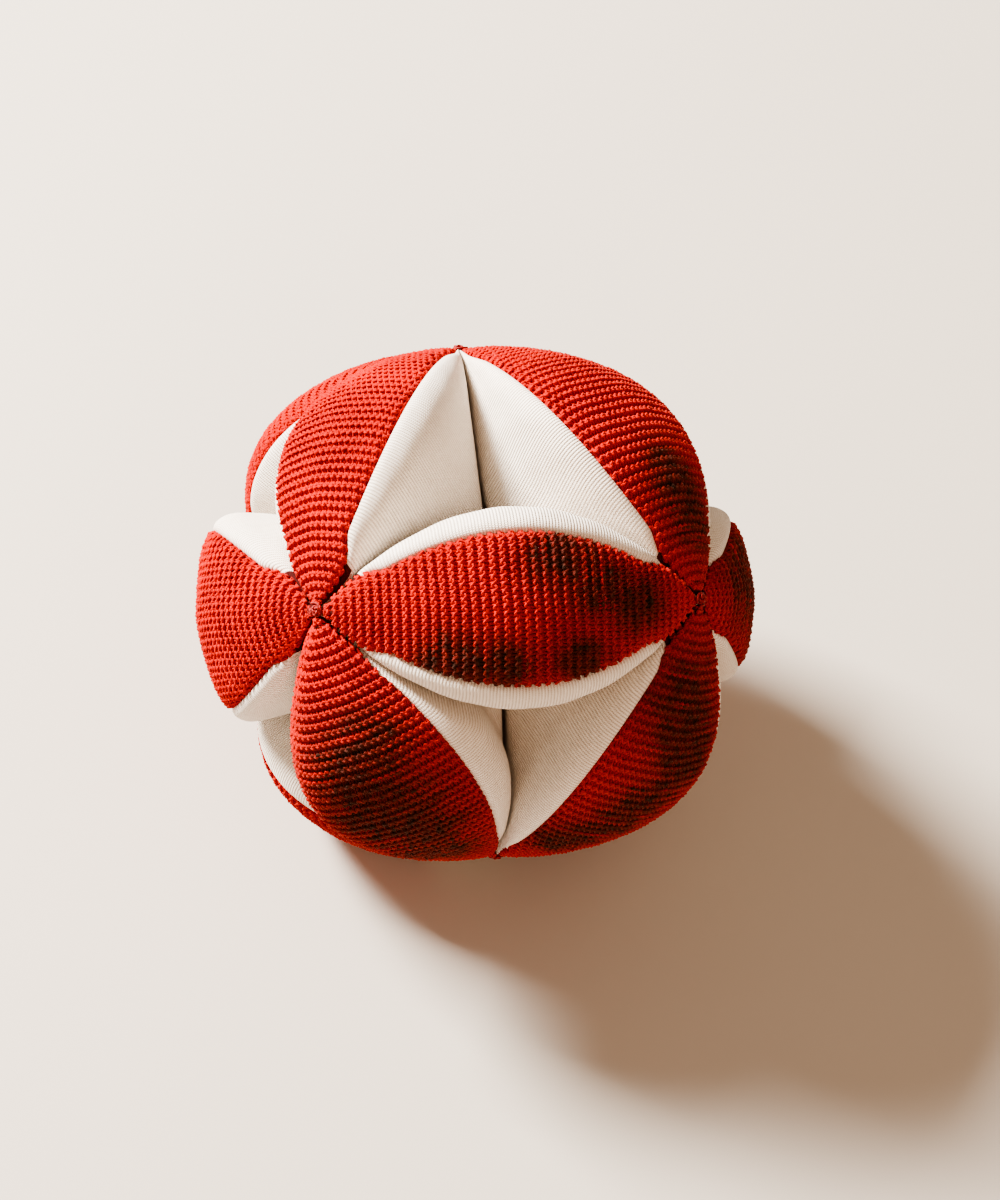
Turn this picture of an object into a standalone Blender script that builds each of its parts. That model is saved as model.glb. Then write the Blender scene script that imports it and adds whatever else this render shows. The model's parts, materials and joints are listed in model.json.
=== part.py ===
"""Soft puzzle ball: three interlocking rings of four stuffed knitted wedges.

Every wedge spans two of the ball's six corners, its tips tacked there to the next wedges of its
ring. It is a red lens-shaped outer panel, a white side panel folded round the back, and a filling.
World frame: metres, +Z up, origin on the floor under the ball's middle. The ball stands on three
wedges, with one of its eight triangular hollows straight up and another straight down.
"""

import math

import bmesh
import bpy
import numpy as np
from mathutils import Matrix, Vector

# Driving dimensions, in metres
BALL_DIAMETER = 0.140  # across the crowns of two opposite wedges
CORNER_RADIUS = BALL_DIAMETER / 2 / 1.09  # the six corners lie a little inside the crowns
REST_HEIGHT = 0.990 * CORNER_RADIUS  # the ball's middle above the floor, its underside pressed flat
OUTER_THICKNESS = 0.0024  # thick ridged knit
SIDE_THICKNESS = 0.0013  # fine smooth knit
NEIGHBOUR_GAP = 0.0007  # from each wedge to the plane it shares with a neighbour
SEAM_GAP = 0.00035  # between the cut edges of the outer and side panels
FILLING_SCALE = 0.860  # the filling against its wedge
TACK_SIZE = (0.0023, 0.0013, 0.0010)  # half sizes of a thread tack: along the ring, across, deep
TACK_DEPTHS = (0.0002, 0.0030)  # of the outer and the inner tack at a corner

# A wedge's middle section in polar form about its tip-to-tip chord, 0 degrees at the crown and
# 180 at the fold, as fractions of CORNER_RADIUS
SECTION = (
    (0, 0.383),  # crown
    (22, 0.394),
    (45, 0.440),  # seam between the panels
    (57, 0.443),  # the side panel's roll, where the wedge is widest
    (72, 0.386),
    (90, 0.342),
    (115, 0.356),
    (139, 0.450),  # the bottom of the hollow, where three wedges meet
    (158, 0.428),
    (180, 0.430),  # fold of the side panel
)
SEAM_ANGLE = math.radians(45)
OUTER_END = 0.94  # where the panels' tips stop, as fractions of half the chord
SIDE_END = 0.88
FILLING_END = 0.84

# The frame's three axes through opposite corners: one leans towards +Y, the others follow by thirds
CORNER_TILT = math.atan(1 / math.sqrt(2))
TOP = Vector((0, math.cos(CORNER_TILT), math.sin(CORNER_TILT)))
LEFT = Matrix.Rotation(math.radians(120), 3, "Z") @ TOP
RIGHT = Matrix.Rotation(math.radians(-120), 3, "Z") @ TOP
RINGS = {"a": (LEFT, RIGHT), "b": (RIGHT, TOP), "c": (TOP, LEFT)}  # two of each ring's corners

# Base colour and roughness of each kind of piece
FINISHES = {
    "outer_panel": ((0.560, 0.030, 0.018, 1), 0.85),  # red wool-like yarn
    "side_panel": ((0.780, 0.720, 0.630, 1), 0.88),  # off-white cotton
    "filling": ((0.860, 0.850, 0.820, 1), 0.95),  # polyester fibre
    "tip_tack": ((0.480, 0.022, 0.014, 1), 0.80),  # red thread
}


def clear_scene():
    for old in list(bpy.data.objects):
        bpy.data.objects.remove(old, do_unlink=True)


def new_collection(name):
    collection = bpy.data.collections.new(name)
    bpy.context.scene.collection.children.link(collection)
    return collection


def new_material(kind, label):
    colour, roughness = FINISHES[kind]
    material = bpy.data.materials.new(f"{kind}_{label}_finish")
    material.use_nodes = True
    shader = material.node_tree.nodes["Principled BSDF"]
    shader.inputs["Base Color"].default_value = colour
    shader.inputs["Roughness"].default_value = roughness
    shader.inputs["Metallic"].default_value = 0.0
    return material


def section_radius(angle):
    """Radius of the middle section at an angle from the crown: a smooth curve through SECTION.

    A cubic runs between each two points, with the slope at a point taken from its neighbours;
    the curve is mirrored at the crown and the fold, so it is level there.
    """
    degrees = np.abs(np.degrees(np.arctan2(np.sin(angle), np.cos(angle))))
    at = np.array([row[0] for row in SECTION], float)
    radius = np.array([row[1] for row in SECTION], float)
    slope = np.zeros(len(at))
    slope[1:-1] = (radius[2:] - radius[:-2]) / (at[2:] - at[:-2])
    index = np.clip(np.searchsorted(at, degrees, side="right") - 1, 0, len(at) - 2)
    width = at[index + 1] - at[index]
    t = (degrees - at[index]) / width
    rise = radius[index] * (1 + 2 * t) * (1 - t) ** 2 + radius[index + 1] * t * t * (3 - 2 * t)
    lean = slope[index] * t * (1 - t) ** 2 - slope[index + 1] * t * t * (1 - t)
    return rise + lean * width


def wedge_surface(along, angle, depth=0.0):
    """Points of a wedge's skin: x along the chord, y across it, z outwards, about the chord's middle.

    along runs from -1 at one tip to 1 at the other. The middle section shrinks towards the tips
    as a parabola, and where the puffed side would cross the plane it shares with the next wedge
    it presses flat against it, NEIGHBOUR_GAP inside. depth is how far towards the chord the
    points lie under the skin.
    """
    half_chord = CORNER_RADIUS / math.sqrt(2)
    puffed = section_radius(angle) * CORNER_RADIUS * (1 - along**2)
    room = half_chord * (1 - np.abs(along)) / math.sqrt(2) - math.sqrt(2) * NEIGHBOUR_GAP
    lean = np.abs(np.sin(angle)) - np.cos(angle) / math.sqrt(2)
    pressed = room / np.maximum(lean, 1e-3)
    radius = (puffed**-20.0 + pressed**-20.0) ** (-1 / 20) - depth
    shape = np.broadcast(along, angle).shape
    points = np.empty(shape + (3,))
    points[..., 0] = half_chord * along
    points[..., 1] = radius * np.sin(angle)
    points[..., 2] = radius * np.cos(angle)
    return points


def loft_mesh(name, sections):
    """A closed solid through sections of equal point count, each a ring that turns about +X from
    +Z towards +Y, with a flat cap at either end."""
    rows, columns, _ = sections.shape
    faces = []
    for row in range(rows - 1):
        for column in range(columns):
            beside = (column + 1) % columns
            low = row * columns
            high = low + columns
            faces.append((low + column, high + column, high + beside, low + beside))
    last = (rows - 1) * columns
    faces.append(tuple(range(columns)))
    faces.append(tuple(last + column for column in reversed(range(columns))))
    mesh = bpy.data.meshes.new(name)
    mesh.from_pydata(sections.reshape(-1, 3).tolist(), [], faces)
    mesh.shade_smooth()
    mesh.set_sharp_from_angle(angle=math.radians(50))
    return mesh


def panel_mesh(name, along, angle, thickness):
    """A curved panel as a loft: each section runs out along the skin and back along its inside.

    Its cut edges lie in planes through the chord, mitred with the neighbouring panel's, where
    a Solidify modifier would lean both edges towards each other and overlap them.
    """
    outside = wedge_surface(along[:, None], angle)
    inside = wedge_surface(along[:, None], angle[:, ::-1], thickness)
    return loft_mesh(name, np.concatenate((outside, inside), axis=1))


def stations(end, count):
    """Evenly turned places along the chord, so that they crowd towards the tips."""
    turn = np.linspace(-1, 1, count) * math.asin(end)
    return np.sin(turn)


def seam_slack(along, angle):
    """The angle that half the seam gap takes up at the wedge's own radius there."""
    point = wedge_surface(along, np.full_like(along, angle))
    return SEAM_GAP / 2 / np.hypot(point[..., 1], point[..., 2])


def outer_panel_mesh():
    """The red lens, from seam to seam over the crown."""
    along = stations(OUTER_END, 9)
    reach = SEAM_ANGLE - seam_slack(along, SEAM_ANGLE)
    share = np.linspace(-1, 1, 7)
    angle = reach[:, None] * share[None, :]
    return panel_mesh("outer_panel", along, angle, OUTER_THICKNESS)


def side_panel_mesh():
    """The white disc folded into both sides of the wedge, from seam to seam round the back."""
    along = stations(SIDE_END, 9)
    start = SEAM_ANGLE + seam_slack(along, SEAM_ANGLE)
    share = np.linspace(-1, 1, 13)
    angle = math.pi + (math.pi - start)[:, None] * share[None, :]
    return panel_mesh("side_panel", along, angle, SIDE_THICKNESS)


def filling_mesh():
    """The stuffing: the wedge's own shape, smaller about its middle."""
    along = stations(FILLING_END, 8)
    angle = np.linspace(0, 2 * math.pi, 12, endpoint=False)
    points = wedge_surface(along[:, None], angle[None, :])
    middle = (points.reshape(-1, 3).max(axis=0) + points.reshape(-1, 3).min(axis=0)) / 2
    return loft_mesh("filling", middle + (points - middle) * FILLING_SCALE)


def tack_mesh():
    """A small knot of thread, longest along its ring."""
    form = bmesh.new()
    bmesh.ops.create_uvsphere(form, u_segments=8, v_segments=6, radius=1.0)
    bmesh.ops.scale(form, vec=TACK_SIZE, verts=form.verts)
    mesh = bpy.data.meshes.new("tip_tack")
    form.to_mesh(mesh)
    form.free()
    mesh.shade_smooth()
    return mesh


def oriented(x_axis, z_axis, place):
    """The matrix that puts local x and z along two square directions, with its origin at place."""
    x_axis = x_axis.normalized()
    z_axis = z_axis.normalized()
    turn = Matrix((x_axis, z_axis.cross(x_axis), z_axis)).transposed()
    return Matrix.Translation(place) @ turn.to_4x4()


def add_node(kind, label, mesh, collection, parent=None):
    """One named piece. Copies share a mesh, so each object holds its own material."""
    node = bpy.data.objects.new(f"{kind}_{label}", mesh)
    collection.objects.link(node)
    node.parent = parent
    if not mesh.materials:
        mesh.materials.append(None)
    node.material_slots[0].link = "OBJECT"
    node.material_slots[0].material = new_material(kind, label)
    return node


def press_flat(node, floor):
    cut = node.modifiers.new("pressed_flat", "BOOLEAN")
    cut.operation = "DIFFERENCE"
    cut.solver = "EXACT"
    cut.object = floor


def add_floor_cutter(collection):
    """A block whose top is the floor: it trims the resting wedges flat where they touch down."""
    bpy.ops.mesh.primitive_cube_add(size=1.0)
    block = bpy.context.object
    block.name = "floor_cutter"
    depth = 0.020
    block.data.transform(Matrix.Diagonal((BALL_DIAMETER, BALL_DIAMETER, depth, 1)))
    block.data.transform(Matrix.Translation((0, 0, -depth / 2)))
    for owner in list(block.users_collection):
        owner.objects.unlink(block)
    collection.objects.link(block)
    block.hide_render = True
    block.display_type = "WIRE"
    return block


def add_wedge(label, start, end, meshes, collection, floor):
    """One stuffed wedge between two corners, hung on an empty whose x axis is its rocking axis."""
    middle = Vector((0, 0, REST_HEIGHT))
    pivot = bpy.data.objects.new(f"rock_{label}", None)
    pivot.empty_display_size = CORNER_RADIUS / 4
    collection.objects.link(pivot)
    chord_middle = middle + (start + end) * CORNER_RADIUS / 2
    pivot.matrix_world = oriented(end - start, start + end, chord_middle)
    outer = add_node("outer_panel", label, meshes["outer_panel"], collection, pivot)
    side = add_node("side_panel", label, meshes["side_panel"], collection, pivot)
    add_node("filling", label, meshes["filling"], collection, pivot)
    if start.z < 0 and end.z < 0:
        press_flat(outer, floor)
        press_flat(side, floor)


def add_tack(label, corner, along, depth, mesh, collection):
    """The thread that ties two tips of one ring together at a corner."""
    place = Vector((0, 0, REST_HEIGHT)) + corner * (CORNER_RADIUS - depth)
    tack = add_node("tip_tack", label, mesh, collection)
    tack.matrix_world = oriented(along, corner, place)


def build_ball():
    clear_scene()
    parts = new_collection("puzzle_ball")
    cutters = new_collection("cutters")
    floor = add_floor_cutter(cutters)
    meshes = {}
    meshes["outer_panel"] = outer_panel_mesh()
    meshes["side_panel"] = side_panel_mesh()
    meshes["filling"] = filling_mesh()
    knot = tack_mesh()
    for ring, (first, second) in RINGS.items():
        corners = (first, second, -first, -second)
        for number in range(4):
            start = corners[number]
            end = corners[(number + 1) % 4]
            label = f"{ring}{number + 1}"
            add_wedge(label, start, end, meshes, parts, floor)
            # At each corner one ring's tack lies over the other's
            depth = TACK_DEPTHS[number % 2]
            add_tack(label, start, end, depth, knot, parts)


build_ball()
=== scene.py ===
import json
import math

import bpy
import numpy as np
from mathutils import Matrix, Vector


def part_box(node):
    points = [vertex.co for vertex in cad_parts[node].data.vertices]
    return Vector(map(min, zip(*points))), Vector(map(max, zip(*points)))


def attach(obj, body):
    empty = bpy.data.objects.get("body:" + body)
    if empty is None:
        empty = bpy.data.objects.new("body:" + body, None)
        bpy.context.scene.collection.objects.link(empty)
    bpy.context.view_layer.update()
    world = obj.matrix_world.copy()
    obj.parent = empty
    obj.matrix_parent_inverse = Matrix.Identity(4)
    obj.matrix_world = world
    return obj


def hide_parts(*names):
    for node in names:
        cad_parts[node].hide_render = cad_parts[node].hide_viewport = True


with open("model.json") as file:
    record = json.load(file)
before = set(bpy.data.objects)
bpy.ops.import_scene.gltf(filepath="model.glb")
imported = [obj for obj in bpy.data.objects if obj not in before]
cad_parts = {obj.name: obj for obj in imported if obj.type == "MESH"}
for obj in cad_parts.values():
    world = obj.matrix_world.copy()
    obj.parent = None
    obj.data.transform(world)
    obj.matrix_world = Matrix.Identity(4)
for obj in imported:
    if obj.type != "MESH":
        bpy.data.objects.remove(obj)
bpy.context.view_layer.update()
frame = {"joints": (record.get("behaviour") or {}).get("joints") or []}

# The ball's plan. A puzzle ball has six corners, placed like the points of an octahedron, and
# twelve stuffed wedges lie along the straight chords between neighbouring corners. The packed
# joints give each chord: its middle is the joint's place and it runs along the joint's axis.
chords = {joint["name"].removeprefix("rock_"): joint for joint in frame["joints"]}
chord_middles = {label: np.array(joint["pos_m"]) for label, joint in chords.items()}
ball_middle = np.mean(list(chord_middles.values()), axis=0)
half_chord = float(np.linalg.norm(chord_middles["a1"] - ball_middle))
corner_radius = half_chord * math.sqrt(2)


def wedge_axes(label):
    """A wedge's own directions as rows: x along its chord, y across it, z out of the ball."""
    along = np.array(chords[label]["axis"])
    outwards = (chord_middles[label] - ball_middle) / half_chord
    return np.array((along, np.cross(outwards, along), outwards))


# The camera looks steeply down at the ball from a little left of its front, turned so that the
# floor runs slightly downhill to the right, as a hand-held camera above a floor does.
CAMERA_DISTANCE = 11.8 * corner_radius
CAMERA_BEARING = math.radians(-12.87)  # from the front, to the left
CAMERA_RISE = math.radians(54.38)
CAMERA_TURN = (math.radians(35.44), math.radians(-4.67), math.radians(-6.94))
camera_data = bpy.data.cameras.new("ball_camera")
camera_data.lens = 90
camera_data.sensor_width = 36
camera = bpy.data.objects.new("ball_camera", camera_data)
bpy.context.scene.collection.objects.link(camera)
camera.location = ball_middle + CAMERA_DISTANCE * np.array(
    (
        math.sin(CAMERA_BEARING) * math.cos(CAMERA_RISE),
        -math.cos(CAMERA_BEARING) * math.cos(CAMERA_RISE),
        math.sin(CAMERA_RISE),
    )
)
camera.rotation_euler = CAMERA_TURN
bpy.context.scene.camera = camera

# White side covers. Each wedge is a red lens sewn to a disc of fine white knit that is folded
# round the wedge's back and stuffed hard, so it rolls up beside the seam and presses flat
# against the next wedge. The closed form goes on under the red lens as the lens's backing,
# painted dark red as the shade that lies deep under the red knit.
SECTION = (
    (0, 0.383),  # crown
    (22, 0.394),
    (45, 0.440),  # seam
    (57, 0.443),  # the white cover's roll, where the wedge is widest
    (72, 0.386),
    (90, 0.342),
    (115, 0.356),
    (139, 0.450),  # the bottom of the hollow, where three wedges meet
    (158, 0.428),
    (180, 0.430),  # fold of the white cover
)
SEAM_ANGLE = math.radians(45)
SEAM_WIDENS = (0.66, 0.92)  # where the seam starts and ends widening, as shares of half the chord
TIP_FULLNESS = 0.04
TIP_FILLS = (0.70, 0.95)  # where the tips start and end growing fuller, as such shares
LEAN_FADES = (1.05, 2.45)  # between these angles from the crown, in radians, the lean fades out
CROWDING_GROWS = (-0.2, 0.5)  # from the middle towards the crowded end, as shares of half the chord
# How each wedge has settled in the soft ball: the lean of its crown about its chord in degrees,
# its fullness, how much fuller it is towards its last tip, how wide its lens spreads on its
# first and its second side, and how many degrees wider it grows at its first and last tip.
SETTLED = {
    "a1": (-2, 0.98, 0.00, 0.95, 0.95, 38, 38),
    "a2": (0, 0.93, 0.00, 1.04, 1.04, 30, 11),
    "a4": (-3, 1.08, 0.00, 1.06, 1.06, 11, 33),
    "b1": (4, 1.00, 0.00, 1.08, 1.08, 34, 6),
    "b2": (12, 1.16, 0.07, 1.03, 1.22, 11, 11),
    "b3": (17, 1.245, 0.00, 1.00, 1.00, 11, 11),
    "b4": (6, 1.00, 0.00, 1.09, 1.09, 8, 30),
    "c1": (-5, 0.95, 0.00, 1.12, 0.97, 8, 37),
    "c2": (26, 1.02, -0.11, 1.52, 0.87, 24, 8),
    "c4": (-4, 1.02, 0.00, 1.03, 1.03, 11, 11),
}
EVEN = (0, 1.00, 0.00, 1.00, 1.00, 12, 12)
# Where one wedge crowds its neighbour: degrees by which the plane that they share turns about
# the corner's way out, by label, side and end.
CROWDED = {
    ("c2", -1, 1): -10,
    ("b3", 1, 1): 10,
    ("c1", 1, -1): -3.5,
    ("b1", 1, 1): 3.5,
    ("c2", 1, 1): 2,
    ("b4", 1, -1): -2,
}
# Where a corner has moved off the even plan, in metres, by the wedge whose first tip is there.
MOVED = {"c1": (-0.0025, 0.0004, -0.0006), "b1": (0.0020, -0.0015, -0.0013)}
SKIN_SHARPNESS = 32.0  # how sharply the free skin turns into the pressed one
FLOOR_SOFTNESS = 0.0004  # over how much height a wedge rounds off to the floor
PRESSED_GAP = 0.00008  # between a pressed side and the plane it shares with the next wedge
SEAM_DEPTH = 0.0019  # how deep the seam lies in the groove between the red and the white
ROLL_WIDTH = 0.0027
BACKING_DEPTH = 0.0023  # the lens's backing, under the ridges of its knit
BACKING_SLOPE = 0.0012  # over which the cover drops from the seam to the backing
SLIM_RADIUS = 0.007  # where a wedge is thinner than this, groove and roll shrink with it
WIDE_SEAM = math.radians(61)  # where the seam is wider than this, the tips are drawn together
BACKED_EDGE = math.radians(13)  # and this much of the cover beside the seam is red backing, painted dark as shade
FOLD_PLACE = 0.72  # where the folds by the tips are highest, as a share of half the chord
FOLD_SPREAD = 0.16
FOLD_HEIGHT = 0.0011
SLACK_HEIGHT = 0.00008
COVER_END = 0.975  # where a cover's tips close, as a share of half the chord
WALE = 0.70  # millimetres between two ribs of the white knit
COURSE_WHITE = 0.52  # millimetres between two of its rows
WHITE = (0.92, 0.87, 0.80, 1)
# Painted shade: the white knit darkens towards this in the holes between its wales; it also gives
# the cloth's random darker tone.
WHITE_SHADE = (0.50, 0.37, 0.27, 1)
# Painted shade: the lens's backing is far darker than the red yarn, for the shade deep between the
# knit's ridges.
BACKING_SHADED_RED = (0.10, 0.006, 0.004, 1)
BACKING_DEEPER_SHADE = (0.09, 0.006, 0.004, 1)


def section_radius(angle):
    """Radius of the middle section at an angle from the crown, as a share of the corner radius.

    A cubic runs between each two points of SECTION, with the slope at a point taken from its
    neighbours; the curve is mirrored at the crown and the fold, so it is level there.
    """
    degrees = np.abs(np.degrees(np.arctan2(np.sin(angle), np.cos(angle))))
    at, radius = np.array(SECTION, float).T
    slope = np.zeros(len(at))
    slope[1:-1] = (radius[2:] - radius[:-2]) / (at[2:] - at[:-2])
    index = np.clip(np.searchsorted(at, degrees, side="right") - 1, 0, len(at) - 2)
    width = at[index + 1] - at[index]
    t = (degrees - at[index]) / width
    rise = radius[index] * (1 + 2 * t) * (1 - t) ** 2 + radius[index + 1] * t * t * (3 - 2 * t)
    lean = slope[index] * t * (1 - t) ** 2 - slope[index + 1] * t * t * (1 - t)
    return rise + lean * width


def smooth_step(value, start, stop):
    """From 0 at start to 1 at stop, level at both."""
    t = np.clip((value - start) / (stop - start), 0, 1)
    return t * t * (3 - 2 * t)


def seam_at(label, along, side):
    """The angle between a wedge's crown and its seam on a side, -1 or 1, wider at the tips."""
    *_, first_side, second_side, first_tip, last_tip = SETTLED.get(label, EVEN)
    spread = np.where(side < 0, first_side, second_side)
    tip = np.radians(np.where(along < 0, first_tip, last_tip))
    return SEAM_ANGLE * spread + tip * smooth_step(np.abs(along), *SEAM_WIDENS)


def skin_radii(label, along, angle):
    """How far out a wedge's skin would puff freely, how far its neighbours leave it room, and
    the angle from the way out of the ball at which this is.

    The middle section shrinks towards the corners as a parabola. Its outer half leans round the
    chord by the wedge's lean. The room ends PRESSED_GAP inside the plane shared with the next
    wedge.
    """
    lean, fullness, skew, *_ = SETTLED.get(label, EVEN)
    own = np.arctan2(np.sin(angle), np.cos(angle))
    turned = angle + math.radians(lean) * (1 - smooth_step(np.abs(own), *LEAN_FADES))
    tip = 1 + TIP_FULLNESS * smooth_step(np.abs(along), *TIP_FILLS)
    full = fullness * (1 + skew * along) * tip
    puffed = section_radius(angle) * corner_radius * full * (1 - along**2)
    plane = np.radians(45)
    for side in (-1, 1):
        for end in (-1, 1):
            turn = math.radians(CROWDED.get((label, side, end), 0))
            grown = smooth_step(end * along, *CROWDING_GROWS)
            plane = plane + turn * grown * (side * own > 0)
    open_out = np.tan(plane) / math.sqrt(2)
    room = open_out * half_chord * (1 - np.abs(along)) - math.sqrt(2) * PRESSED_GAP
    slope = np.abs(np.sin(turned)) - open_out * np.cos(turned)
    return puffed, np.maximum(room, 1e-5) / np.maximum(slope, 1e-3), turned


def wedge_skin(label, along, angle):
    """Points of a wedge's skin in the wedge's own directions, about the middle of its chord.

    along runs from -1 at one corner to 1 at the other, and angle turns from the wedge's own
    crown. The radius is a smooth least-of-two of the free and the pressed one.
    """
    puffed, pressed, turned = skin_radii(label, along, angle)
    together = puffed**-SKIN_SHARPNESS + pressed**-SKIN_SHARPNESS
    radius = together ** (-1 / SKIN_SHARPNESS)
    return np.stack(
        np.broadcast_arrays(
            half_chord * along, radius * np.sin(turned), radius * np.cos(turned)
        ),
        axis=-1,
    )


def unit(vectors):
    """The same directions with length one."""
    return vectors / np.maximum(np.linalg.norm(vectors, axis=-1, keepdims=True), 1e-12)


def skin_directions(label, along, angle):
    """Unit vectors outwards from the skin and along it away from the crown, by differences."""
    step = 1e-4
    lengthwise = wedge_skin(label, along + step, angle) - wedge_skin(label, along - step, angle)
    around = wedge_skin(label, along, angle + step) - wedge_skin(label, along, angle - step)
    return unit(np.cross(lengthwise, around)), unit(around)


def corner_way(label, end):
    """Unit vector from the ball's middle to the corner at a wedge's end, -1 or 1."""
    corner = chord_middles[label] + end * half_chord * wedge_axes(label)[0]
    return (corner - ball_middle) / corner_radius


def in_ball(label, points, least=0.0):
    """Points given in a wedge's own directions, at their place in the ball.

    A wedge follows its two corners where they have moved. The three wedges that the ball stands
    on are pressed flat by the floor: a smooth greater-of-two keeps every point above least.
    """
    placed = points @ wedge_axes(label) + chord_middles[label]
    share = (points[..., :1] / half_chord + 1) / 2
    for start, move in MOVED.items():
        first, last = (corner_way(label, end) @ corner_way(start, -1) > 0.9 for end in (-1, 1))
        placed = placed + (first * (1 - share) + last * share) * np.array(move)
    above = placed[..., 2] - least
    placed[..., 2] = least + (above + np.sqrt(above**2 + FLOOR_SOFTNESS**2)) / 2
    return placed


def closed_skin(name, rings, lengths, around):
    """A mesh through rings of points about the chord, closed by a point at either end.

    Its map "fabric" holds lengths along the chord and around the ring, in millimetres.
    """
    rows, columns, _ = rings.shape
    poles = np.stack((rings[0].mean(axis=0), rings[-1].mean(axis=0)))
    points = np.concatenate((rings.reshape(-1, 3), poles))
    low = np.arange(rows - 1)[:, None] * columns
    column = np.arange(columns)[None, :]
    beside = (column + 1) % columns
    quads = np.stack(
        (low + column, low + columns + column, low + columns + beside, low + beside), axis=-1
    ).reshape(-1, 4)
    ring = np.arange(columns)
    after = (ring + 1) % columns
    last = (rows - 1) * columns
    first_fan = np.stack((np.full(columns, last + columns), ring, after), axis=-1)
    last_fan = np.stack((np.full(columns, last + columns + 1), last + after, last + ring), axis=-1)
    mesh = bpy.data.meshes.new(name)
    mesh.from_pydata(
        points.tolist(), [], quads.tolist() + first_fan.tolist() + last_fan.tolist()
    )
    mesh.shade_smooth()
    map_rows = np.broadcast_to(lengths[:, None], (rows, columns + 1))
    at = np.stack((map_rows, around), axis=-1) * 1000
    on_quads = np.stack((at[:-1, :-1], at[1:, :-1], at[1:, 1:], at[:-1, 1:]), axis=2)
    on_first = np.stack((at[0, :-1], at[0, :-1], at[0, 1:]), axis=1)
    on_last = np.stack((at[-1, :-1], at[-1, 1:], at[-1, :-1]), axis=1)
    flat = np.concatenate((on_quads.ravel(), on_first.ravel(), on_last.ravel()))
    layer = mesh.uv_layers.new(name="fabric")
    layer.data.foreach_set("uv", flat.astype(np.float32))
    return mesh


def add_piece(name, mesh, *materials):
    """The mesh as a piece at the origin, with its materials."""
    piece = bpy.data.objects.new(name, mesh)
    bpy.context.scene.collection.objects.link(piece)
    for material in materials:
        mesh.materials.append(material)
    return piece


def cover_angles():
    """Angles round a cover: close together over the seams' grooves, wider elsewhere."""
    degrees = np.concatenate(
        (
            np.linspace(-38, 38, 13),
            np.linspace(40, 45, 5),
            np.linspace(45.7, 62, 18),
            np.linspace(65, 295, 49),
            np.linspace(298, 314.3, 18),
            np.linspace(315, 320, 5),
        )
    )
    return np.radians(degrees)


def cover_mesh(label, seed):
    """A wedge's closed white cover, in place.

    The skin sinks to the seam's groove by a quarter-ellipse roll, stays at the backing's depth
    under the red lens, and carries low folds that fan out from the tips. The faces under the
    lens take the second material, the lens's backing, painted dark as shade.
    """
    chance = np.random.default_rng(seed)
    along = np.sin(np.linspace(-1, 1, 135) * math.asin(COVER_END))[:, None]
    even = cover_angles()[None, :]
    from_crown = np.abs(np.arctan2(np.sin(even), np.cos(even)))
    seam = seam_at(label, along, np.sin(even))
    before = from_crown * seam / SEAM_ANGLE
    beyond = seam + (from_crown - SEAM_ANGLE) * (math.pi - seam) / (math.pi - SEAM_ANGLE)
    from_crown = np.where(from_crown < SEAM_ANGLE, before, beyond)
    angle = np.where(np.sin(even) < 0, -from_crown, from_crown)
    skin = wedge_skin(label, along, angle)
    outwards, _ = skin_directions(label, along, angle)
    radius = np.hypot(skin[..., 1], skin[..., 2])
    past_seam = (from_crown - seam) * radius
    slim = np.clip(radius / SLIM_RADIUS, 0.25, 1)
    roll = np.clip(past_seam / (ROLL_WIDTH * slim), 0, 1)
    groove = SEAM_DEPTH * slim * (1 - np.sqrt(1 - (1 - roll) ** 2))
    sunk = np.clip(-past_seam / BACKING_SLOPE, 0, 1) * (BACKING_DEPTH - SEAM_DEPTH) * slim
    near_tip = np.exp(-(((np.abs(along) - FOLD_PLACE) / FOLD_SPREAD) ** 2))
    fan = np.zeros(radius.shape)
    for folds in (5, 8, 13):
        start, shift = chance.uniform(0, 2 * math.pi, 2)
        fan = fan + np.sin(folds * angle + start + 2.0 * np.sin(2.2 * along + shift)) / folds
    softness = np.clip(past_seam / 0.006, 0, 1)
    puffed, pressed, _ = skin_radii(label, along, angle)
    softness = softness * smooth_step(pressed / puffed, 1.02, 1.15)
    folds_height = FOLD_HEIGHT * near_tip * fan * softness
    ripple = np.sin(23 * along + chance.uniform(0, 6) + 3 * np.sin(3 * angle))
    slack = SLACK_HEIGHT * ripple * softness
    points = skin - outwards * (groove + sunk - folds_height - slack)[..., None]
    closed = np.concatenate((points, points[:, :1]), axis=1)
    steps = np.linalg.norm(np.diff(closed, axis=1), axis=-1)
    around = np.concatenate((np.zeros((len(along), 1)), np.cumsum(steps, axis=1)), axis=1)
    around -= around.mean(axis=1, keepdims=True)
    mesh = closed_skin(f"side_cover_{label}", in_ball(label, points), points[:, 0, 0], around)
    turns = np.append(cover_angles(), 2 * math.pi + cover_angles()[0])
    middles = (turns[:-1] + turns[1:])[None, :] / 2
    seam = seam_at(label, (along[:-1] + along[1:]) / 2, np.sin(middles))
    backed = SEAM_ANGLE + BACKED_EDGE * (seam > WIDE_SEAM)
    under_lens = np.cos(middles) > np.cos(backed)
    ends = np.concatenate((under_lens[0], under_lens[-1]))
    indices = np.concatenate((under_lens.ravel(), ends)).astype(np.int32)
    mesh.polygons.foreach_set("material_index", indices)
    return mesh


def add_node(tree, kind, inputs=(), **settings):
    """A shader node with its settings, each named input set to a value or joined to a socket."""
    made = tree.nodes.new(kind)
    for setting, value in settings.items():
        setattr(made, setting, value)
    for name, value in dict(inputs).items():
        if isinstance(value, bpy.types.NodeSocket):
            tree.links.new(value, made.inputs[name])
        else:
            made.inputs[name].default_value = value
    return made


def reckon(tree, operation, first, second=0.0, third=0.0):
    """The result of one step of arithmetic on sockets or numbers."""
    inputs = {0: first, 1: second, 2: third}
    return add_node(tree, "ShaderNodeMath", inputs, operation=operation).outputs[0]


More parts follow.
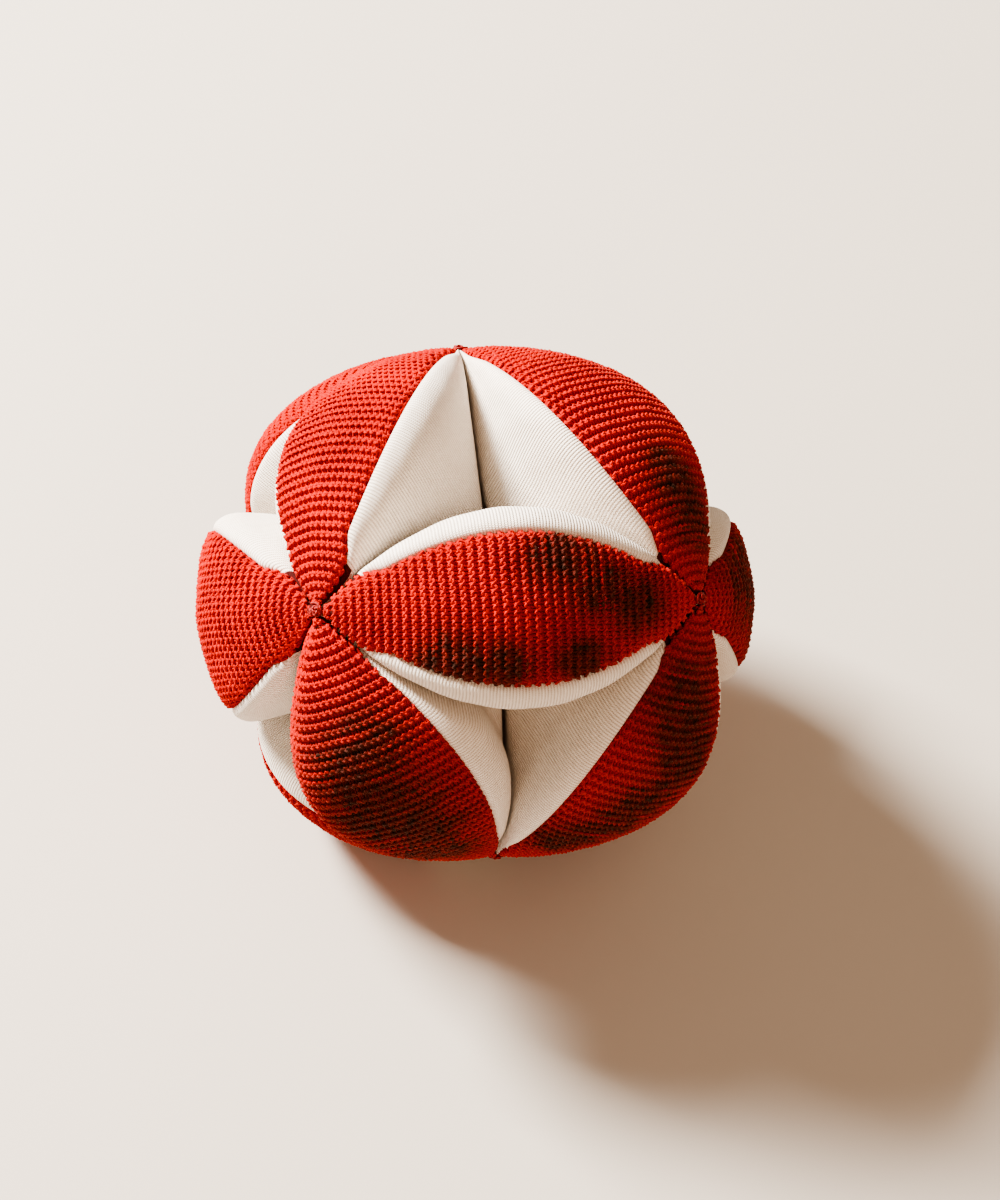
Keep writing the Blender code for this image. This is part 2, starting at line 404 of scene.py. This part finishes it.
def blend_colours(tree, factor, first, second):
    """The colour that goes from first to second as factor goes from 0 to 1."""
    mix = add_node(
        tree, "ShaderNodeMix", {"Factor": factor}, data_type="RGBA", clamp_factor=True
    )
    for socket, colour in ((mix.inputs[6], first), (mix.inputs[7], second)):
        if isinstance(colour, bpy.types.NodeSocket):
            tree.links.new(colour, socket)
        else:
            socket.default_value = colour
    return mix.outputs[2]


def make_spun_variation():
    """What every spun fibre on the ball shares, as a node group.

    Cloud is slow variation of the dye and of handling, Fleck is the variation from one yarn to
    the next, and Fuzz is the height of loose fibre ends. All three run from 0 to 1.
    """
    group = bpy.data.node_groups.new("spun_variation", "ShaderNodeTree")
    for name, value in (("Cloud Scale", 60.0), ("Fleck Scale", 700.0), ("Fuzz Scale", 5000.0)):
        socket = group.interface.new_socket(name, in_out="INPUT", socket_type="NodeSocketFloat")
        socket.default_value = value
    for name in ("Cloud", "Fleck", "Fuzz"):
        group.interface.new_socket(name, in_out="OUTPUT", socket_type="NodeSocketFloat")
    entry = group.nodes.new("NodeGroupInput")
    leave = group.nodes.new("NodeGroupOutput")
    place = group.nodes.new("ShaderNodeTexCoord").outputs["Object"]
    for name, detail in (("Cloud", 3.0), ("Fleck", 1.0), ("Fuzz", 2.0)):
        scale = entry.outputs[f"{name} Scale"]
        inputs = {"Vector": place, "Scale": scale, "Detail": detail, "Roughness": 0.6}
        noise = add_node(group, "ShaderNodeTexNoise", inputs)
        ranged = add_node(
            group,
            "ShaderNodeMapRange",
            {"Value": noise.outputs["Fac"], "From Min": 0.3, "From Max": 0.7},
        )
        group.links.new(ranged.outputs[0], leave.inputs[name])
    return group


def new_material(name):
    """An empty node material and its tree."""
    material = bpy.data.materials.new(name)
    material.use_nodes = True
    material.node_tree.nodes.clear()
    return material, material.node_tree


def finish_material(tree, colour, roughness, height, bump, **plain):
    """The shader for spun fibre, fed by this material's own colour, roughness and height."""
    relief = add_node(
        tree,
        "ShaderNodeBump",
        {"Height": height, "Strength": bump[0], "Distance": bump[1]},
    )
    inputs = {
        "Base Color": colour,
        "Roughness": roughness,
        "Normal": relief.outputs[0],
    }
    inputs.update(plain)
    shader = add_node(tree, "ShaderNodeBsdfPrincipled", inputs)
    add_node(tree, "ShaderNodeOutputMaterial", {"Surface": shader.outputs[0]})


def make_white_knit(variation):
    """Fine stocking stitch: rounded wales that run across the chord, each a column of Vs, with
    painted shade in the holes between them.
    """
    material, tree = new_material("white_knit")
    spun = add_node(
        tree, "ShaderNodeGroup", {"Cloud Scale": 45.0, "Fleck Scale": 900.0}, node_tree=variation
    )
    fabric = add_node(tree, "ShaderNodeUVMap", uv_map="fabric").outputs[0]
    at = add_node(tree, "ShaderNodeSeparateXYZ", {0: fabric})
    wale = reckon(tree, "DIVIDE", at.outputs[0], WALE)
    beside = reckon(tree, "PINGPONG", wale, 0.5)  # 0 between two wales, 0.5 on one
    rib = reckon(tree, "SINE", reckon(tree, "MULTIPLY", beside, math.pi))
    row = reckon(tree, "DIVIDE", at.outputs[1], COURSE_WHITE)
    vee = reckon(tree, "ADD", beside, row)
    loop = reckon(tree, "SINE", reckon(tree, "MULTIPLY", vee, 2 * math.pi))
    loop = reckon(tree, "MULTIPLY_ADD", loop, 0.5, 0.5)
    # Painted shade in the holes between the wales.
    hole_shade = reckon(tree, "MULTIPLY", reckon(tree, "SUBTRACT", 1.0, rib), loop)
    height = reckon(tree, "MULTIPLY_ADD", loop, 0.35, rib)
    height = reckon(tree, "MULTIPLY_ADD", spun.outputs["Fuzz"], 0.15, height)
    shade = reckon(tree, "MULTIPLY_ADD", spun.outputs["Fleck"], 0.10, hole_shade)
    shade = reckon(tree, "MULTIPLY_ADD", spun.outputs["Cloud"], 0.12, shade)
    colour = blend_colours(tree, shade, WHITE, WHITE_SHADE)
    rough = reckon(tree, "MULTIPLY_ADD", spun.outputs["Fleck"], 0.12, 0.80)
    sheen = {"Sheen Weight": 0.15, "Sheen Roughness": 0.6}
    finish_material(tree, colour, rough, height, (0.9, 0.00024), **sheen)
    return material


def make_shaded_lens_backing(variation):
    """The red yarn's back loops, deep between the ridges: rougher than the face, and painted far
    darker as the shade that falls there.
    """
    material, tree = new_material("shaded_lens_backing")
    spun = add_node(
        tree, "ShaderNodeGroup", {"Cloud Scale": 90.0, "Fleck Scale": 800.0}, node_tree=variation
    )
    colour = blend_colours(tree, spun.outputs["Fleck"], BACKING_SHADED_RED, BACKING_DEEPER_SHADE)
    rough = reckon(tree, "MULTIPLY_ADD", spun.outputs["Cloud"], 0.08, 0.88)
    finish_material(tree, colour, rough, spun.outputs["Fuzz"], (0.6, 0.0003))
    return material


spun_variation = make_spun_variation()
white_knit = make_white_knit(spun_variation)
shaded_lens_backing = make_shaded_lens_backing(spun_variation)
for seed, label in enumerate(chords):
    cover = add_piece(f"side_cover_{label}", cover_mesh(label, seed), white_knit, shaded_lens_backing)
    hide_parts(f"side_panel_{label}")
    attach(cover, f"wedge_{label}")

# Red lenses. Each is a leaf-shaped piece of garter knit in a red yarn, darker brown in
# patches. Its ridges run across the leaf: heads of one course's loops hook round the feet of
# the next course's, both in front, and then both pass behind. The edges roll down into the seam.
COURSE = 0.0012  # between two courses; a ridge takes two
STITCH = 0.00174  # between two stitches along a course
LOOP_REACH = 0.00108  # how far a loop's head and foot lie from the course's line
LOOP_SWELL = 0.15 * STITCH  # how much wider a head is than its neck
LOOP_SKEW = 0.10 * STITCH
LOOP_DEPTH = 0.00076
YARN_RADIUS = 0.00043
YARN_SIDES = 5
STITCH_STEPS = 8
EDGE_ROLL = 0.0016  # radius of the rolled edge
LENS_END = 0.974  # where its tips end, as a share of half the chord
VARIED_REACH = 0.07  # how unevenly the loops are drawn, as shares of their reach and depth
VARIED_DEPTH = 0.12
VARIED_PLACE = 0.00005
COURSE_DRIFT = 0.00010  # how far a course wavers along the lens and across it
COURSE_WANDER = 0.00022
RED = (0.62, 0.020, 0.008, 1)
# Painted shade: the red yarn darkens towards this colour in the valleys between its plies; the same
# colour gives the dye's slow random darker tone.
RED_SHADE_AND_DEEP_TONE = (0.26, 0.003, 0.001, 1)
PATCH_BROWN = (0.050, 0.020, 0.012, 1)
# Darker brown patches on the lenses: along and across the lens and radius, in millimetres.
DARK_PATCHES = {
    "a1": ((11, 12, 7), (20, 4, 6), (-16, -14, 8), (-6, -14, 6), (30, 0, 6), (14, -13, 5)),
    "c2": ((-9, -7, 13), (0, -5, 15), (9, -4, 14), (-15, -1, 10), (17, -8, 10), (25, -3, 9)),
    "b4": ((10, -4, 12), (-6, 2, 11), (-20, 8, 9), (25, 2, 11)),
    "c1": (),
    "b1": ((-24, 0, 8), (-31, -3, 8)),
    "a4": ((-12, 14, 5),),
    "a2": ((-20, 4, 12), (-2, -6, 12)),
}
PATCH_WEIGHT = 1.45
FAINT_WEIGHT = 0.75  # on the lenses that aren't listed, which have two faint patches each
STREAKS = 0.40  # how much a patch's darkness comes and goes every four stitches


def yarn_mesh(name, path, facing, radius, kept, sides):
    """A round yarn carried along every row of path, where kept holds, with closed ends.

    The ring at a point stands square to the path: one of its directions is the path crossed
    with facing, the other is that crossed with the path. Its map "yarn" holds the length along
    the yarn in millimetres and the turn round it from 0 to 1.
    """
    ahead = unit(np.gradient(path, axis=1))
    sideways = unit(np.cross(ahead, facing))
    upwards = np.cross(sideways, ahead)
    side = np.arange(sides)
    turn = side[:, None] * 2 * math.pi / sides
    across = sideways[:, :, None, :] * np.cos(turn) + upwards[:, :, None, :] * np.sin(turn)
    rings = path[:, :, None, :] + radius * across
    number = np.cumsum(kept.ravel()).reshape(kept.shape) - 1
    joined = kept[:, :-1] & kept[:, 1:]
    here = number[:, :-1][joined][:, None] * sides
    there = number[:, 1:][joined][:, None] * sides
    beside = (side + 1) % sides
    quads = np.stack((here + side, there + side, there + beside, here + beside), axis=-1)
    starts = kept.copy()
    starts[:, 1:] &= ~kept[:, :-1]
    stops = kept.copy()
    stops[:, :-1] &= ~kept[:, 1:]
    first = number[starts][:, None] * sides + side
    last = number[stops][:, None] * sides + side[::-1]
    mesh = bpy.data.meshes.new(name)
    mesh.from_pydata(
        rings[kept].reshape(-1, 3).tolist(),
        [],
        quads.reshape(-1, 4).tolist() + first.tolist() + last.tolist(),
    )
    mesh.shade_smooth()
    steps = np.linalg.norm(np.diff(path, axis=1), axis=-1)
    length = np.concatenate((np.zeros((len(path), 1)), np.cumsum(steps, axis=1)), axis=1) * 1000
    low = np.broadcast_to(length[:, :-1][joined][:, None], quads.shape[:2])
    high = np.broadcast_to(length[:, 1:][joined][:, None], quads.shape[:2])
    share = np.broadcast_to(side / sides, quads.shape[:2])
    lengths = np.stack((low, high, high, low), axis=-1)
    shares = np.stack((share, share, share + 1 / sides, share + 1 / sides), axis=-1)
    on_quads = np.stack((lengths, shares), axis=-1)
    on_ends = np.zeros((first.size + last.size, 2))
    flat = np.concatenate((on_quads.ravel(), on_ends.ravel()))
    layer = mesh.uv_layers.new(name="yarn")
    layer.data.foreach_set("uv", flat.astype(np.float32))
    return mesh


def lens_measures(label):
    """Tables of the lens, for reading places on the skin from lengths on the cloth.

    They are places along the chord and the crown's length up to each, measured from the middle;
    then, for its first and its second side, the lens's width at each place and how the width
    shares out over the seam angle.
    """
    along = np.linspace(-0.99, 0.99, 1201)
    crown = wedge_skin(label, along, np.zeros(len(along)))
    steps = np.linalg.norm(np.diff(crown, axis=0), axis=-1)
    length = np.concatenate(([0], np.cumsum(steps)))
    length -= length[-1] / 2
    parts = np.linspace(0, 1, 46)
    widths = []
    shares = []
    for side in (-1, 1):
        angles = side * parts[None, :] * seam_at(label, along, side)[:, None]
        rows = wedge_skin(label, along[:, None], angles)
        reached = np.cumsum(np.linalg.norm(np.diff(rows, axis=1), axis=-1), axis=1)
        middle = reached[len(along) // 2]
        widths.append(reached[:, -1])
        shares.append(np.concatenate(([0], middle / middle[-1])))
    return along, length, widths, shares, parts


def drawn_noise(chance, rows, columns, steps):
    """One random number for each stitch, carried smoothly to the points of its loop."""
    drawn = chance.normal(0, 1, (rows, columns))
    at = np.arange(columns * steps) / steps
    index = np.minimum(at.astype(int), columns - 2)
    part = at - index
    return drawn[:, index] * (1 - part) + drawn[:, index + 1] * part


def lens_mesh(label, seed):
    """A lens of garter knit, in place, as one tube for each course.

    Along a course the phase u turns once for each stitch. Across the lens a point lies at the
    stitch pitch times u, plus a swell by sin 2u that rounds the heads and a skew by cos u; along
    it at the course's line plus LOOP_REACH cos u; and LOOP_DEPTH cos u above or below the
    cloth's middle, above for one course's heads and for the next course's feet.
    """
    chance = np.random.default_rng(100 + seed)
    table_along, table_length, table_widths, shares, parts = lens_measures(label)
    reach = np.interp(LENS_END, table_along, table_length)
    courses = 2 * int(reach / COURSE) + 1
    course = np.arange(courses)[:, None]
    line = (course - (courses - 1) / 2) * COURSE
    stitches = 2 * int((np.max(table_widths) + EDGE_ROLL) / STITCH + 1)
    point = np.arange(stitches * STITCH_STEPS)[None, :]
    phase = (point - stitches * STITCH_STEPS / 2) * 2 * math.pi / STITCH_STEPS
    vary_reach = drawn_noise(chance, courses, stitches, STITCH_STEPS)
    vary_depth = drawn_noise(chance, courses, stitches, STITCH_STEPS)
    vary_across = drawn_noise(chance, courses, stitches, STITCH_STEPS)
    base = STITCH * phase / (2 * math.pi)
    drift = COURSE_DRIFT * np.sin(base * 260 + chance.uniform(0, 6) + line * 90)
    length = line + drift + LOOP_REACH * (1 + VARIED_REACH * vary_reach) * np.cos(phase)
    along = np.interp(length, table_length, table_along)
    wander = COURSE_WANDER * np.sin(line * 160 + chance.uniform(0, 6))
    across = base + wander + LOOP_SWELL * np.sin(2 * phase) + LOOP_SKEW * np.cos(phase)
    across = across + VARIED_PLACE * vary_across
    first_width, second_width = (np.interp(along, table_along, table) for table in table_widths)
    width = np.where(across < 0, first_width, second_width)
    roll = np.minimum(EDGE_ROLL, 0.6 * width)
    lean = np.clip((np.abs(across) - (width - roll)) / roll, 0, 1.8)
    side = np.where(course % 2, -1.0, 1.0)
    height = side * LOOP_DEPTH * (1 + VARIED_DEPTH * vary_depth) * np.cos(phase)
    height = height * (1 - 0.75 * smooth_step(lean, 0.3, 1.5))
    flat = np.minimum(np.abs(across), width - roll) + roll * np.sin(lean)
    first_part, second_part = (np.interp(flat / width, share, parts) for share in shares)
    part = np.where(across < 0, -first_part, second_part)
    angle = part * seam_at(label, along, across)
    skin = wedge_skin(label, along, angle)
    outwards, around = skin_directions(label, along, angle)
    around = around * np.sign(across)[..., None]
    lean = lean[..., None]
    facing = outwards * np.cos(lean) + around * np.sin(lean)
    drop = LOOP_DEPTH + YARN_RADIUS + roll[..., None] * (1 - np.cos(lean))
    path = skin - outwards * drop + facing * height[..., None]
    line_along = np.interp(line, table_length, table_along)
    line_widths = [np.interp(line_along, table_along, table) for table in table_widths]
    line_width = np.where(base < 0, line_widths[0], line_widths[1])
    kept = np.abs(base) <= line_width + 0.6 * np.minimum(EDGE_ROLL, 0.6 * line_width)
    path = in_ball(label, path, YARN_RADIUS)
    facing = facing @ wedge_axes(label)
    mesh = yarn_mesh(f"red_lens_{label}", path, facing, YARN_RADIUS, kept, YARN_SIDES)
    spots = DARK_PATCHES.get(label)
    if spots is None:
        spots = [
            (chance.uniform(-30, 30), chance.uniform(-14, 14), chance.uniform(7, 12))
            for _ in range(2)
        ]
    streaks = drawn_noise(chance, courses, stitches // 4 + 2, STITCH_STEPS * 4)[:, : point.size]
    patch = np.zeros(kept.shape)
    for spot_length, spot_across, spot_radius in spots:
        off = (length * 1000 - spot_length) ** 2 / 1.6 + (across * 1000 - spot_across) ** 2
        patch = np.maximum(patch, np.exp(-off / spot_radius**2))
    weight = PATCH_WEIGHT if label in DARK_PATCHES else FAINT_WEIGHT
    patch = np.clip(weight * patch * (1 + STREAKS * streaks), 0, 1)
    dark_patch = mesh.attributes.new("dark_patch", "FLOAT", "POINT")
    dark_patch.data.foreach_set("value", np.repeat(patch[kept], YARN_SIDES).astype(np.float32))
    return mesh


def make_ply_twist():
    """The plies of a twisted strand, as a node group that the yarn and the thread share.

    Ply is 0 in the valley between two plies and 1 on a ply's back: the sine of half a turn
    times the fraction of Plies times Round plus Along divided by Lay. Round is the turn round
    the strand, and Lay is the length along it from one ply to the next.
    """
    group = bpy.data.node_groups.new("ply_twist", "ShaderNodeTree")
    for name in ("Along", "Round", "Plies", "Lay"):
        group.interface.new_socket(name, in_out="INPUT", socket_type="NodeSocketFloat")
    group.interface.new_socket("Ply", in_out="OUTPUT", socket_type="NodeSocketFloat")
    entry = group.nodes.new("NodeGroupInput").outputs
    leave = group.nodes.new("NodeGroupOutput")
    twists = reckon(group, "DIVIDE", entry["Along"], entry["Lay"])
    wound = reckon(group, "MULTIPLY_ADD", entry["Round"], entry["Plies"], twists)
    turned = reckon(group, "MULTIPLY", reckon(group, "FRACT", wound), math.pi)
    group.links.new(reckon(group, "SINE", turned), leave.inputs["Ply"])
    return group


def make_red_yarn(variation, twist):
    """Plied red yarn: three plies wind round it with painted shade between them, and it is darker
    brown in patches.
    """
    material, tree = new_material("red_yarn")
    spun = add_node(
        tree, "ShaderNodeGroup", {"Cloud Scale": 55.0, "Fleck Scale": 420.0}, node_tree=variation
    )
    yarn = add_node(tree, "ShaderNodeUVMap", uv_map="yarn").outputs[0]
    at = add_node(tree, "ShaderNodeSeparateXYZ", {0: yarn}).outputs
    wound = {"Along": at[0], "Round": at[1], "Plies": 3.0, "Lay": 1.1}
    ply = add_node(tree, "ShaderNodeGroup", wound, node_tree=twist).outputs["Ply"]
    height = reckon(tree, "MULTIPLY_ADD", spun.outputs["Fuzz"], 0.5, ply)
    # Painted shade in the valleys between the plies, with the dye's slow darker tone from Cloud.
    deep = reckon(tree, "MULTIPLY", reckon(tree, "SUBTRACT", 1.0, ply), 0.55)
    deep = reckon(tree, "MULTIPLY_ADD", spun.outputs["Cloud"], 0.45, deep)
    red = blend_colours(tree, deep, RED, RED_SHADE_AND_DEEP_TONE)
    patch = add_node(tree, "ShaderNodeAttribute", attribute_name="dark_patch").outputs["Fac"]
    flecked = reckon(tree, "MULTIPLY_ADD", spun.outputs["Fleck"], 0.4, 0.60)
    dark = reckon(tree, "MULTIPLY", patch, flecked)
    colour = blend_colours(tree, dark, red, PATCH_BROWN)
    rough = reckon(tree, "MULTIPLY_ADD", spun.outputs["Fleck"], 0.15, 0.70)
    plain = {
        "Sheen Weight": 0.14,
        "Sheen Roughness": 0.45,
        "Sheen Tint": (1.0, 0.60, 0.48, 1),
        "Specular IOR Level": 0.25,
    }
    finish_material(tree, colour, rough, height, (0.55, 0.00016), **plain)
    return material


ply_twist = make_ply_twist()
red_yarn = make_red_yarn(spun_variation, ply_twist)
for seed, label in enumerate(chords):
    lens = add_piece(f"red_lens_{label}", lens_mesh(label, seed), red_yarn)
    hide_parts(f"outer_panel_{label}")
    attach(lens, f"wedge_{label}")

# Fibre fillings. Each wedge is stuffed through its seam with loose white fibre, which packs into
# a lumpy form that fills the covers.
FILLING_END = 0.84
FILLING_INSET = 0.0034
LUMP_HEIGHT = 0.0006
FIBRE_WHITE = (0.80, 0.78, 0.74, 1)
FIBRE_GREY = (0.62, 0.60, 0.56, 1)


def filling_mesh(label, seed):
    """The wedge's skin drawn in by FILLING_INSET, with lumps from two products of waves."""
    chance = np.random.default_rng(200 + seed)
    along = np.sin(np.linspace(-1, 1, 41) * math.asin(FILLING_END))[:, None]
    angle = np.linspace(0, 2 * math.pi, 48, endpoint=False)[None, :]
    skin = wedge_skin(label, along, angle)
    outwards, _ = skin_directions(label, along, angle)
    radius = np.hypot(skin[..., 1], skin[..., 2])
    shift = chance.uniform(0, 6, 3)
    lumps = np.sin(9 * along + shift[0]) * np.sin(5 * angle + shift[1])
    lumps = lumps + 0.5 * np.sin(19 * along + shift[2]) * np.sin(11 * angle + shift[0])
    inset = np.minimum(FILLING_INSET, 0.4 * radius) + LUMP_HEIGHT * lumps
    points = skin - outwards * inset[..., None]
    around = np.broadcast_to(np.linspace(0, 0.1, 49), (len(along), 49))
    return closed_skin(f"fibre_{label}", in_ball(label, points), points[:, 0, 0], around)


def make_fibre(variation):
    """Loose bleached fibre: fine strands in every direction, shaded where they part."""
    material, tree = new_material("loose_fibre")
    spun = add_node(
        tree, "ShaderNodeGroup", {"Cloud Scale": 120.0, "Fleck Scale": 1500.0}, node_tree=variation
    )
    place = add_node(tree, "ShaderNodeTexCoord").outputs["Object"]
    strands = add_node(
        tree,
        "ShaderNodeTexWave",
        {"Vector": place, "Scale": 300.0, "Distortion": 14.0, "Detail": 3.0, "Detail Scale": 2.0},
    ).outputs["Fac"]
    shade = reckon(tree, "MULTIPLY", strands, spun.outputs["Fleck"])
    colour = blend_colours(tree, shade, FIBRE_WHITE, FIBRE_GREY)
    rough = reckon(tree, "MULTIPLY_ADD", spun.outputs["Cloud"], 0.10, 0.85)
    finish_material(tree, colour, rough, strands, (0.5, 0.0006), **{"Sheen Weight": 0.3})
    return material


loose_fibre = make_fibre(spun_variation)
for seed, label in enumerate(chords):
    fibre = add_piece(f"fibre_{label}", filling_mesh(label, seed), loose_fibre)
    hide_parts(f"filling_{label}")
    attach(fibre, f"wedge_{label}")

# Tip tacks. At every corner the tips of each ring's two wedges are drawn together with a few
# overcast turns of red thread, tied off in a knot whose tail curls back.
THREAD_RADIUS = 0.00031
TACK_STEPS = 66
COIL_TURNS = 4
COIL_RADIUS = 0.0008
COIL_REACH = 0.0015  # half the coil's length
KNOT_RING = 0.00072
KNOT_WINDING = 0.00036
KNOT_PLACE = (0.0004, 0.0003, 0.0005)  # along the ring, across it and out of the ball
TAIL_START = 0.0007
TAIL_OPENING = 0.0016
THREAD_RED = (0.46, 0.014, 0.007, 1)
# Painted shade: the thread darkens towards this between its plies, and with its random darker tone.
THREAD_SHADE_AND_TONE = (0.20, 0.004, 0.002, 1)


def tack_mesh(label, seed):
    """Three tubes: overcast turns, the knot and its tail.

    The turns are a flat coil that advances along the ring. The knot is a trefoil, wound twice
    round a small ring while it winds three times through it. The tail is an opening spiral.
    """
    chance = np.random.default_rng(300 + seed)
    low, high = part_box(f"tip_tack_{label}")
    place = (np.array(low) + np.array(high)) / 2
    corner = corner_way(label, -1)
    run = wedge_axes(label)[0]
    run = unit(run - corner * np.dot(run, corner))
    frame_rows = np.array((run, np.cross(corner, run), corner))
    for start, move in MOVED.items():
        place = place + (corner @ corner_way(start, -1) > 0.9) * np.array(move)
    share = np.linspace(0, 1, TACK_STEPS)
    turns = COIL_TURNS * 2 * math.pi * share
    coil_out = np.stack((0 * turns, np.cos(turns), 0.6 * np.sin(turns)), axis=-1)
    coil = coil_out * COIL_RADIUS
    coil[:, 0] = COIL_REACH * (2 * share - 1)
    wind = 2 * math.pi * share
    ring_out = np.stack((np.cos(2 * wind), np.sin(2 * wind), 0 * wind), axis=-1)
    knot_out = ring_out * np.cos(3 * wind)[:, None]
    knot_out[:, 2] = np.sin(3 * wind)
    knot = KNOT_RING * ring_out + KNOT_WINDING * knot_out + np.array(KNOT_PLACE)
    curl = chance.uniform(0, 6) + chance.uniform(3.5, 5.0) * share
    opening = TAIL_START + TAIL_OPENING * share
    tail = np.stack(
        (opening * np.cos(curl), opening * np.sin(curl), 0.0001 + 0.0002 * share), axis=-1
    )
    tail_out = np.broadcast_to((0.0, 0.0, 1.0), tail.shape)
    path = place + np.stack((coil, knot, tail)) @ frame_rows
    facing = np.stack((coil_out, knot_out, tail_out)) @ frame_rows
    kept = np.ones(path.shape[:2], bool)
    return yarn_mesh(f"tack_{label}", path, facing, THREAD_RADIUS, kept, 7)


def make_thread(variation, twist):
    """Twisted red sewing thread, doubled: tighter twist and a little more shine than the yarn, with
    painted shade between its plies.
    """
    material, tree = new_material("red_thread")
    spun = add_node(
        tree, "ShaderNodeGroup", {"Cloud Scale": 300.0, "Fleck Scale": 1500.0}, node_tree=variation
    )
    yarn = add_node(tree, "ShaderNodeUVMap", uv_map="yarn").outputs[0]
    at = add_node(tree, "ShaderNodeSeparateXYZ", {0: yarn}).outputs
    wound = {"Along": at[0], "Round": at[1], "Plies": 2.0, "Lay": 0.7}
    ply = add_node(tree, "ShaderNodeGroup", wound, node_tree=twist).outputs["Ply"]
    height = reckon(tree, "MULTIPLY_ADD", spun.outputs["Fuzz"], 0.3, ply)
    # Painted shade between the plies, broken up by the random Fleck.
    shade = reckon(tree, "SUBTRACT", 1.0, reckon(tree, "MULTIPLY", ply, spun.outputs["Fleck"]))
    colour = blend_colours(tree, shade, THREAD_RED, THREAD_SHADE_AND_TONE)
    rough = reckon(tree, "MULTIPLY_ADD", spun.outputs["Cloud"], 0.15, 0.50)
    finish_material(tree, colour, rough, height, (0.6, 0.00015), **{"Sheen Weight": 0.05})
    return material


red_thread = make_thread(spun_variation, ply_twist)
for seed, label in enumerate(chords):
    tack = add_piece(f"tack_{label}", tack_mesh(label, seed), red_thread)
    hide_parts(f"tip_tack_{label}")
    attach(tack, "tip_tacks")

# The floor and the lights. A plain pale floor, one large soft window light from behind on the
# left, and a weak warm bounce from the front.
FLOOR_SIZE = 6.0
FLOOR_COLOUR = (0.54, 0.50, 0.45, 1)
FLOOR_GRAIN = (0.52, 0.48, 0.43, 1)
ROOM_COLOUR = (1.0, 0.76, 0.57, 1)
ROOM_STRENGTH = 0.27
WINDOW_WHITE = (1.0, 0.965, 0.91)
BOUNCE_WARM = (1.0, 0.68, 0.48)
floor_mesh = bpy.data.meshes.new("floor")
floor_half = FLOOR_SIZE / 2
floor_mesh.from_pydata(
    [
        (-floor_half, -floor_half, 0),
        (floor_half, -floor_half, 0),
        (floor_half, floor_half, 0),
        (-floor_half, floor_half, 0),
    ],
    [],
    [(0, 1, 2, 3)],
)
floor_material, floor_tree = new_material("pale_floor")
floor_grain = add_node(
    floor_tree,
    "ShaderNodeTexNoise",
    {"Vector": add_node(floor_tree, "ShaderNodeTexCoord").outputs["Object"], "Scale": 9.0},
).outputs["Fac"]
finish_material(
    floor_tree,
    blend_colours(floor_tree, floor_grain, FLOOR_COLOUR, FLOOR_GRAIN),
    reckon(floor_tree, "MULTIPLY_ADD", floor_grain, 0.1, 0.55),
    floor_grain,
    (0.02, 0.001),
)
floor = add_piece("floor", floor_mesh, floor_material)


def add_light(name, bearing, rise, distance, size, power, colour):
    """A square area light that faces the ball, bearing degrees round from the front."""
    data = bpy.data.lights.new(name, "AREA")
    data.size = size
    data.energy = power
    data.color = colour
    light = bpy.data.objects.new(name, data)
    bpy.context.scene.collection.objects.link(light)
    bearing = math.radians(bearing)
    rise = math.radians(rise)
    direction = np.array(
        (
            math.sin(bearing) * math.cos(rise),
            -math.cos(bearing) * math.cos(rise),
            math.sin(rise),
        )
    )
    light.location = ball_middle + direction * distance
    light.rotation_euler = (math.pi / 2 - rise, 0, bearing)


add_light("window", -130, rise=38, distance=2.2, size=0.6, power=116, colour=WINDOW_WHITE)
add_light("bounce", 10, rise=35, distance=2.0, size=1.4, power=9, colour=BOUNCE_WARM)
world = bpy.data.worlds.new("room")
bpy.context.scene.world = world
world.use_nodes = True
background = world.node_tree.nodes["Background"]
background.inputs["Color"].default_value = ROOM_COLOUR
background.inputs["Strength"].default_value = ROOM_STRENGTH
view = bpy.context.scene.view_settings
view.view_transform = "AgX"
view.look = "AgX - High Contrast"
view.exposure = 0.65
